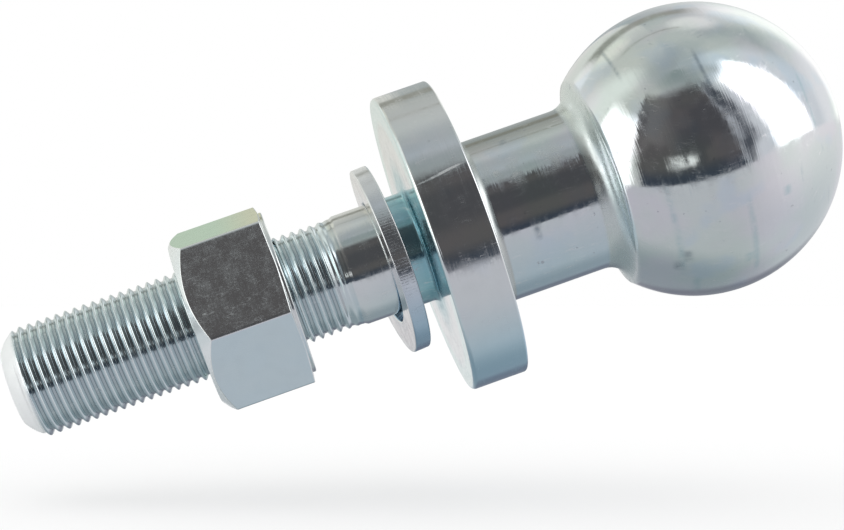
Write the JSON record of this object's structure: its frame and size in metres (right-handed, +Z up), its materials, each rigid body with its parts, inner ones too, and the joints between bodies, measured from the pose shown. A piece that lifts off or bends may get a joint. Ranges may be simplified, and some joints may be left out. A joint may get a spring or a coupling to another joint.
{
  "type": "tow ball bolt",
  "caption": "One-piece tow ball stud with a seat collar and a fine threaded shank, held by a hex nut over a split lock washer.",
  "frame": {"origin": "centre of the flat face at the threaded end, the bolt's lowest point when it stands with its ball up", "axes": "+Z up the shank from the threaded end to the ball; X and Y lie in the end face. The collar's seat face is the plane Z = 0.0716"},
  "size_m": [0.0518, 0.0518, 0.146],
  "materials": {
    "stud_zinc": "bright zinc plate with fine turning marks",
    "nut_zinc": "bluish zinc plate, satin, speckled",
    "washer_zinc": "dull zinc plate over rolled spring steel"
  },
  "bodies": {
    "stud": {"ball_stud": "stud_zinc"},
    "washer": {"lock_washer": "washer_zinc"},
    "nut": {"hex_nut": "nut_zinc"}
  },
  "joints": [
    {"name": "nut_turn", "type": "hinge", "parent": "stud", "child": "washer", "pos_m": [0, 0, 0.0481], "axis": [0, 0, 1], "range_deg": [-10440, 1800]},
    {"name": "nut_travel", "type": "slide", "parent": "washer", "child": "nut", "axis": [0, 0, 1], "range_m": [-0.0465, 0.0085]}
  ],
  "couplings": [
    {"joint": "nut_travel", "follows": "nut_turn", "m_per_rad": 0.00025266}
  ]
}
